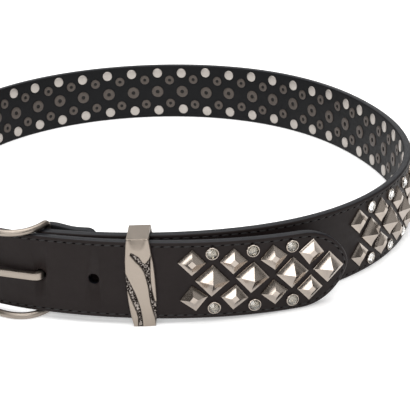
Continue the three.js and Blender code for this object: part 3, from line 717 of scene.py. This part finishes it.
washer_grey, nodes, links, shader = new_finish("washer_grey", (0.13, 0.11, 0.095), 0.5, 0.75)
where = object_place(nodes)
spots = cloud(nodes, links, where, 700, 5)
tint(nodes, links, spots, (0.066, 0.054, 0.047), (0.118, 0.101, 0.09), shader.inputs["Base Color"])
spread(nodes, links, spots, 0.42, 0.62, shader.inputs["Roughness"])
# Painted shade: the near-black finish of the bore stands in for the shade inside the rivet's hollow.
painted_bore_shade, nodes, links, shader = new_finish("painted_bore_shade", (0.004, 0.003, 0.0025), 0.8)
bright_cap, nodes, links, shader = new_finish("bright_cap", (0.62, 0.57, 0.52), 0.42, 0.55)
where = object_place(nodes)
spots = cloud(nodes, links, where, 500, 4)
tint(nodes, links, spots, (0.36, 0.327, 0.298), (0.50, 0.463, 0.428), shader.inputs["Base Color"])
spread(nodes, links, spots, 0.32, 0.52, shader.inputs["Roughness"])

for kind, (radius_mm, bore) in BACKS.items():
    back = rivet_back(f"{kind}_back", radius_mm, bore)
    back.data.materials.append(washer_grey if bore else bright_cap)
    if bore:
        back.data.materials.append(painted_bore_shade)
        # The faces inside the bore take the painted bore shade.
        for face in back.data.polygons:
            if face.center.z < BACK_HEIGHT - 0.2 and face.center.xy.length < bore + 0.1:
                face.material_index = 1
    places = [place_on_strap(*spot, 0, inside=True) @ hand_set(0, BACK_SHIFT) for spot in stud_backs[kind]]
    dress(join([copy_to(back, place, "back") for place in places], f"rivet_backs_{kind}"), None)
    bpy.data.objects.remove(back)

# Buckle frame. A cast metal rectangle with rounded corners, its two rails arched out over the strap
# from the heel bar, where the tab holds it, to the front bar that the prong rests on.
FRAME_ARCH = 12.0
FRAME_CORNER = 2.2
RAIL_STEPS = 26

bar_point = plan_at(BUCKLE_AT)
buckle_at = Matrix.Identity(4)
for row, (away, out) in enumerate(zip(-bar_along, bar_out)):
    buckle_at[row][0], buckle_at[row][1] = away, out
buckle_at[2][2] = 1
buckle_lift = FRAME_ROD + FIT
buckle_at = Matrix.Translation(Vector((*bar_point, buckle_lift + STRAP_WIDTH / 2)) + LOOP_AT) @ buckle_at

front_face = beside_loop(BUCKLE_AT - FRAME_LENGTH, outer_offset + STRAP_THICKNESS / 2) - bar_point
front_y = front_face @ bar_out + STRAP_WIDTH / 2 * LEAN_AT_BUCKLE + 2 * FIT + rod_radius
pulls = np.array([(0, -fold_radius), (rod_radius, FRAME_ARCH - fold_radius),
                  (FRAME_LENGTH / 4, outer_offset + FRAME_ARCH), (FRAME_LENGTH, front_y)])
t = np.linspace(0, 1, 400)[:, None]
weights = ((1 - t) ** 3, 3 * (1 - t) ** 2 * t, 3 * (1 - t) * t**2, t**3)
arch = sum(weight * pull for weight, pull in zip(weights, pulls))
arch_run = np.concatenate([[0], np.cumsum(np.hypot(*np.diff(arch, axis=0).T))])
rail_height = STRAP_WIDTH / 2 + FIT + rod_radius
arch_length = arch_run[-1]
corners = [(arch_length - FRAME_CORNER, FRAME_CORNER - rail_height, -90),
           (arch_length - FRAME_CORNER, rail_height - FRAME_CORNER, 0),
           (FRAME_CORNER, rail_height - FRAME_CORNER, 90), (FRAME_CORNER, FRAME_CORNER - rail_height, 180)]
flat_path = []
for x, y, first in corners:
    for step in range(7):
        around = math.radians(first + 15 * step)
        flat_path.append((x + FRAME_CORNER * math.cos(around), y + FRAME_CORNER * math.sin(around)))
    if first == 0:
        rail = np.linspace(arch_length - FRAME_CORNER, FRAME_CORNER, RAIL_STEPS)
        flat_path += [(along_rail, rail_height) for along_rail in rail[1:-1]]
    elif first == 180:
        rail = np.linspace(FRAME_CORNER, arch_length - FRAME_CORNER, RAIL_STEPS)
        flat_path += [(along_rail, -rail_height) for along_rail in rail[1:-1]]
curve = bpy.data.curves.new("buckle_path", "CURVE")
curve.dimensions = "3D"
curve.bevel_resolution = 4
spline = curve.splines.new("POLY")
spline.points.add(len(flat_path) - 1)
spline.use_cyclic_u = True
for point, (x, y) in zip(spline.points, flat_path):
    plan_x, plan_y = (np.interp(x, arch_run, arch[:, k]) for k in (0, 1))
    point.co = (*((buckle_at @ Vector((plan_x, plan_y, y))) * MM), 1)
curve.bevel_depth = rod_radius * MM
buckle = bpy.data.objects.new("buckle_frame_cast", curve)
bpy.context.scene.collection.objects.link(buckle)
bpy.ops.object.select_all(action="DESELECT")
buckle.select_set(True)
bpy.context.view_layer.objects.active = buckle
bpy.ops.object.convert(target="MESH")
buckle = bpy.context.object
bpy.ops.object.mode_set(mode="EDIT")
bpy.ops.mesh.select_all(action="SELECT")
bpy.ops.mesh.remove_doubles(threshold=0.000001)
bpy.ops.mesh.normals_make_consistent(inside=False)
close(buckle, 60)


def satin_cast(name, base, light, smooth, rough):
    finish, nodes, links, shader = new_finish(name, base, rough, 1.0)
    where = object_place(nodes)
    bloom = cloud(nodes, links, where, 300, 5)
    tint(nodes, links, bloom, base, light, shader.inputs["Base Color"])
    spread(nodes, links, bloom, smooth, rough, shader.inputs["Roughness"])
    relief(nodes, links, cloud(nodes, links, where, 1800, 4), 0.00005, 0.3, shader)
    return finish, nodes, links, shader


satin_metal, *_ = satin_cast("satin_cast_metal", (0.27, 0.232, 0.197), (0.34, 0.298, 0.258), 0.3, 0.44)
buckle.data.materials.append(satin_metal)
dress(buckle, "buckle_frame")

# Prong. The same metal as the frame, with an eye round the heel bar, a shank out through the
# fastened hole, and a blade that rests on the front bar. Its edges are broken by filing.
prong = bpy.data.objects.new("prong_filed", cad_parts["buckle_prong"].data.copy())
bpy.context.scene.collection.objects.link(prong)
bpy.ops.object.select_all(action="DESELECT")
prong.select_set(True)
bpy.context.view_layer.objects.active = prong
bpy.ops.object.mode_set(mode="EDIT")
bpy.ops.mesh.select_all(action="SELECT")
bpy.ops.mesh.remove_doubles(threshold=0.00001)
bpy.ops.mesh.dissolve_limited(angle_limit=math.radians(2))
bpy.ops.object.mode_set(mode="OBJECT")
use_modifier(prong, "BEVEL", width=0.00035, segments=2, limit_method="ANGLE", angle_limit=math.radians(40))
bpy.ops.object.shade_smooth_by_angle(angle=math.radians(35))
prong.data.materials.clear()
prong.data.materials.append(satin_metal)
dress(prong, "buckle_prong")

# Keeper. A loop of satin cast metal round both layers, wider at its middle. Its face is carved with
# two flowing furrows, one of them forked, whose hammered floors were blackened and wiped.
KEEPER_AT = -1.6
KEEPER_WALL = 1.6
KEEPER_CORNER = 0.8
KEEPER_HEADROOM = 1.0
KEEPER_SIDE_ROUND = 0.7
KEEPER_CROWN = 0.35
FURROW_DEPTH = 0.6
FURROW_WALL = 0.4
FLOOR_FROM, FLOOR_FADE = 0.3, 0.6
COARSE_BLOWS, FINE_BLOWS, BLOW_DEPTH = 1.5, 2.6, 0.2
SCOOP_DEPTH, SCOOP_CURVE = 1.1, 1.4
SCOOP_FROM, SCOOP_REACH = 37.5, 5.5
SCOOP_CENTRE, SCOOP_RADIUS, SCOOP_HALF_WIDTH = 43.6, 6.6, 4.6
SCOOP_ASIDE, SCOOP_EDGE = 0.3, 2.4
FACE_STATIONS, SIDE_STATIONS, COLUMNS = 150, 12, 58
SOOT, WIPED_METAL = (0.008, 0.006, 0.005), (0.36, 0.32, 0.29)

# Each row of the edges holds a height and the reach to the left and to the right of the middle.
KEEPER_EDGES = [(-1, 4.4, 5.2), (4.5, 5.4, 6.0), (8.4, 5.9, 6.3), (12.3, 6.3, 6.6), (21, 6.7, 6.6),
                (27, 6.7, 6.45), (32, 6.5, 6.1), (37, 6.0, 5.4), (40.7, 5.6, 5.1), (45, 4.8, 4.5)]
FORKED = [(-4.2, 35.9), (-3.4, 37.0), (-2.6, 36.7), (-0.9, 35.6), (0.2, 34.7), (0.9, 33.4), (1.5, 32.2),
          (2.4, 31.5), (3.3, 32.3), (4.3, 33.6), (4.9, 35.0), (5.5, 36.5), (5.6, 35.8), (5.3, 34.1),
          (5.1, 32.5), (5.0, 30.8), (4.8, 27.2), (4.7, 23.4), (4.9, 19.6), (5.2, 16.7), (5.8, 13.0),
          (7.6, 11.6), (7.6, -0.5), (5.4, -0.5), (5.2, 1.5), (5.0, 4.5), (4.2, 8.0), (3.5, 11.6),
          (3.2, 16.6), (3.0, 19.7), (2.4, 23.5), (1.6, 27.1), (0.9, 28.9), (-0.2, 30.7), (-1.6, 32.3),
          (-2.9, 34.1)]
SIDE_FURROW = [(-7.6, 28.6), (-6.0, 25.9), (-5.2, 23.8), (-3.8, 20.3), (-2.2, 15.7), (-1.1, 11.2),
               (-0.7, 9.2), (-0.3, 5.3), (-0.1, 2.3), (-0.2, -1.0), (-2.9, -0.9), (-2.5, 4.4),
               (-2.9, 7.1), (-3.9, 10.1), (-5.1, 13.8), (-6.0, 17.3), (-7.6, 19.0)]

keeper_point, keeper_along, keeper_out = loop_frame(KEEPER_AT)
keeper_height = lift_at(KEEPER_AT) + STRAP_WIDTH + KEEPER_HEADROOM + KEEPER_WALL
keeper_half = max(row[1] for row in KEEPER_EDGES)
keeper_back = -(STRAP_THICKNESS / 2 + 2 * FIT + KEEPER_WALL)
free_run = course[run > strap_length - free_length]
beside = (free_run[:, :2] - keeper_point) @ keeper_along
reach = (free_run[:, :2] - keeper_point) @ keeper_out + STRAP_WIDTH / 2 * np.abs(free_run[:, 3])
keeper_front = reach[np.abs(beside) < keeper_half].max() + STRAP_THICKNESS / 2 + FIT + KEEPER_WALL


def inside_outline(outline, s, z):
    shape = np.array(outline)
    ahead = np.roll(shape, -1, axis=0)
    nearest, inside = 99.0, False
    for (ax, az), (bx, bz) in zip(shape, ahead):
        step = np.array([bx - ax, bz - az])
        share = np.clip(np.dot([s - ax, z - az], step) / np.dot(step, step), 0, 1)
        nearest = min(nearest, math.hypot(s - ax - share * step[0], z - az - share * step[1]))
        if (az > z) != (bz > z) and s < (bx - ax) * (z - az) / (bz - az) + ax:
            inside = not inside
    return nearest if inside else -nearest


low, high = KEEPER_CORNER, keeper_height - KEEPER_CORNER
inner_back, inner_front = keeper_back + KEEPER_CORNER, keeper_front - KEEPER_CORNER
stations = [(keeper_front, z) for z in np.linspace(low, high, FACE_STATIONS)]
bends = [(inner_front, high, 0, (inner_back, keeper_height)), (inner_back, high, 90, (keeper_back, low)),
         (inner_back, low, 180, (inner_front, 0)), (inner_front, low, 270, None)]
for bend_y, bend_z, first, side_end in bends:
    for step in range(1, 7 if side_end else 6):
        around = math.radians(first + 15 * step)
        on_bend = KEEPER_CORNER * math.cos(around), KEEPER_CORNER * math.sin(around)
        stations.append((bend_y + on_bend[0], bend_z + on_bend[1]))
    if side_end:
        from_y, from_z = stations[-1]
        for k in range(1, SIDE_STATIONS + 1):
            share = k / SIDE_STATIONS
            on_side = from_y + (side_end[0] - from_y) * share, from_z + (side_end[1] - from_z) * share
            stations.append(on_side)
stations.append(stations[0])

bpy.ops.object.select_all(action="DESELECT")
bpy.ops.mesh.primitive_grid_add(x_subdivisions=len(stations) - 1, y_subdivisions=COLUMNS, size=2)
keeper = start("keeper_cast")
shape = bmesh.from_edit_mesh(keeper.data)
station_tag = shape.verts.layers.int.new("station")
furrow_tag = shape.verts.layers.float.new("furrow")
floor_tag = shape.verts.layers.float.new("furrow_floor")
heights, reach_left, reach_right = zip(*KEEPER_EDGES)
for vertex in shape.verts:
    i = round((vertex.co.x + 1) / 2 * (len(stations) - 1))
    across_share = (vertex.co.y + 1) / 2
    y, z = stations[i]
    left = np.interp(z, heights, reach_left)
    right = np.interp(z, heights, reach_right)
    s = -left + (left + right) * across_share
    on_front = smooth_step((y - inner_front) / KEEPER_CORNER)
    from_side = min(s + left, right - s)
    rolled = max(0.0, KEEPER_SIDE_ROUND - from_side)
    drop = KEEPER_SIDE_ROUND - math.sqrt(max(KEEPER_SIDE_ROUND**2 - rolled**2, 0))
    drop += KEEPER_CROWN * (2 * across_share - 1) ** 2
    on_face = y > keeper_front - 0.2
    depth_in = max(inside_outline(FORKED, s, z), inside_outline(SIDE_FURROW, s, z)) if on_face else -9
    carved = float(smooth_step(depth_in / FURROW_WALL)) if depth_in > 0 else 0.0
    hammered = noise.noise(Vector((s * COARSE_BLOWS, z * COARSE_BLOWS, 3)))
    hammered += 0.6 * noise.noise(Vector((s * FINE_BLOWS, z * FINE_BLOWS, 7)))
    half_bowl = SCOOP_HALF_WIDTH * math.sqrt(max(0.0, 1 - ((SCOOP_CENTRE - z) / SCOOP_RADIUS) ** 2))
    deepening = min(max((z - SCOOP_FROM) / SCOOP_REACH, 0), 1) ** SCOOP_CURVE
    scoop = SCOOP_DEPTH * deepening * smooth_step((half_bowl - abs(s + SCOOP_ASIDE)) / SCOOP_EDGE)
    y_in = drop * on_front + carved * (FURROW_DEPTH - BLOW_DEPTH * hammered) + scoop * on_front
    vertex[station_tag] = i
    vertex[furrow_tag] = carved
    vertex[floor_tag] = float(smooth_step((depth_in - FLOOR_FROM) / FLOOR_FADE))
    vertex.co = Vector((-s, y - y_in, z))
bmesh.update_edit_mesh(keeper.data)
bpy.ops.mesh.select_all(action="SELECT")
bpy.ops.mesh.remove_doubles(threshold=0.001)
pick(keeper, "EDGE", lambda e: e.is_boundary)
bpy.ops.mesh.extrude_edges_move(TRANSFORM_OT_translate={"value": (0, 0, 0)})
shape = bmesh.from_edit_mesh(keeper.data)
for vertex in shape.verts:
    if vertex.select:
        y, z = stations[vertex[shape.verts.layers.int["station"]]]
        vertex.co.y = min(max(y, keeper_back + KEEPER_WALL), keeper_front - KEEPER_WALL)
        vertex.co.z = min(max(z, KEEPER_WALL), keeper_height - KEEPER_WALL)
bmesh.update_edit_mesh(keeper.data)
bpy.ops.mesh.bridge_edge_loops()
bpy.ops.mesh.select_all(action="SELECT")
bpy.ops.mesh.remove_doubles(threshold=0.002)
bpy.ops.mesh.normals_make_consistent(inside=False)
close(keeper, 35)
keeper_at = Matrix.Identity(4)
for row, (against, out) in enumerate(zip(-keeper_along, keeper_out)):
    keeper_at[row][0], keeper_at[row][1] = against, out
keeper_at = Matrix.Translation((Vector((*keeper_point, 0)) + LOOP_AT) * MM) @ keeper_at @ Matrix.Scale(MM, 4)
keeper.data.transform(keeper_at)

carved_metal, nodes, links, shader = satin_cast(
    "carved_metal", (0.29, 0.248, 0.208), (0.35, 0.303, 0.26), 0.34, 0.46
)
furrow = nodes.new("ShaderNodeAttribute")
furrow.attribute_name = "furrow"
plain = shader.inputs["Base Color"].links[0].from_socket
where = object_place(nodes)
wiped = nodes.new("ShaderNodeMapRange")
wiped.inputs["From Min"].default_value = 0.46
wiped.inputs["From Max"].default_value = 0.66
links.new(cloud(nodes, links, where, 1300, 3), wiped.inputs["Value"])
furrow_floor = nodes.new("ShaderNodeAttribute")
furrow_floor.attribute_name = "furrow_floor"
specks = nodes.new("ShaderNodeMath")
specks.operation = "MULTIPLY"
links.new(wiped.outputs["Result"], specks.inputs[0])
links.new(furrow_floor.outputs["Fac"], specks.inputs[1])
soot = tint(nodes, links, specks.outputs["Value"], SOOT, WIPED_METAL, shader.inputs["Base Color"])
blackened = nodes.new("ShaderNodeMix")
blackened.data_type = "RGBA"
links.new(furrow.outputs["Fac"], blackened.inputs["Factor"])
links.new(plain, blackened.inputs["A"])
links.new(soot.outputs["Result"], blackened.inputs["B"])
links.new(blackened.outputs["Result"], shader.inputs["Base Color"])
keeper.data.materials.append(carved_metal)
dress(keeper, "keeper")

# Floor and light. A pale table that runs out of view, under a large soft box overhead, with a long
# strip of light in front, weak cards at the right and behind, and a dim room around them.
bpy.ops.object.select_all(action="DESELECT")
bpy.ops.mesh.primitive_plane_add(size=8, location=(0, 1.5, 0))
floor = bpy.context.object
floor.name = "floor"
pale, nodes, links, shader = new_finish("pale_table", (0.9, 0.9, 0.9), 0.8)
shader.inputs["Emission Color"].default_value = (1, 1, 1, 1)
shader.inputs["Emission Strength"].default_value = 0.3
floor.data.materials.append(pale)


def soft_box(name, location, target, width, height, power):
    bpy.ops.object.light_add(type="AREA", location=location)
    light = bpy.context.object
    light.name = name
    light.data.shape = "RECTANGLE"
    light.data.size, light.data.size_y = width, height
    light.data.energy = power
    light.rotation_euler = (Vector(target) - Vector(location)).to_track_quat("-Z", "Y").to_euler()


soft_box("overhead", (0, 0, 1.5), (0, 0, 0), 2.1, 2.1, 42)
soft_box("front_strip", (-0.3, -1.22, 0.72), (0, 0, 0.02), 1.8, 0.38, 9.6)
soft_box("right_card", (1.0, -0.45, 0.45), (0, 0, 0.02), 1.0, 0.6, 0.9)
soft_box("back_card", (0, 1.7, 0.7), (0, 0, 0.02), 2.4, 0.9, 5.5)
world = bpy.data.worlds.new("dim_room")
bpy.context.scene.world = world
world.use_nodes = True
world.node_tree.nodes["Background"].inputs["Color"].default_value = (1, 0.97, 0.93, 1)
world.node_tree.nodes["Background"].inputs["Strength"].default_value = 0.12
bpy.context.scene.view_settings.view_transform = "Standard"
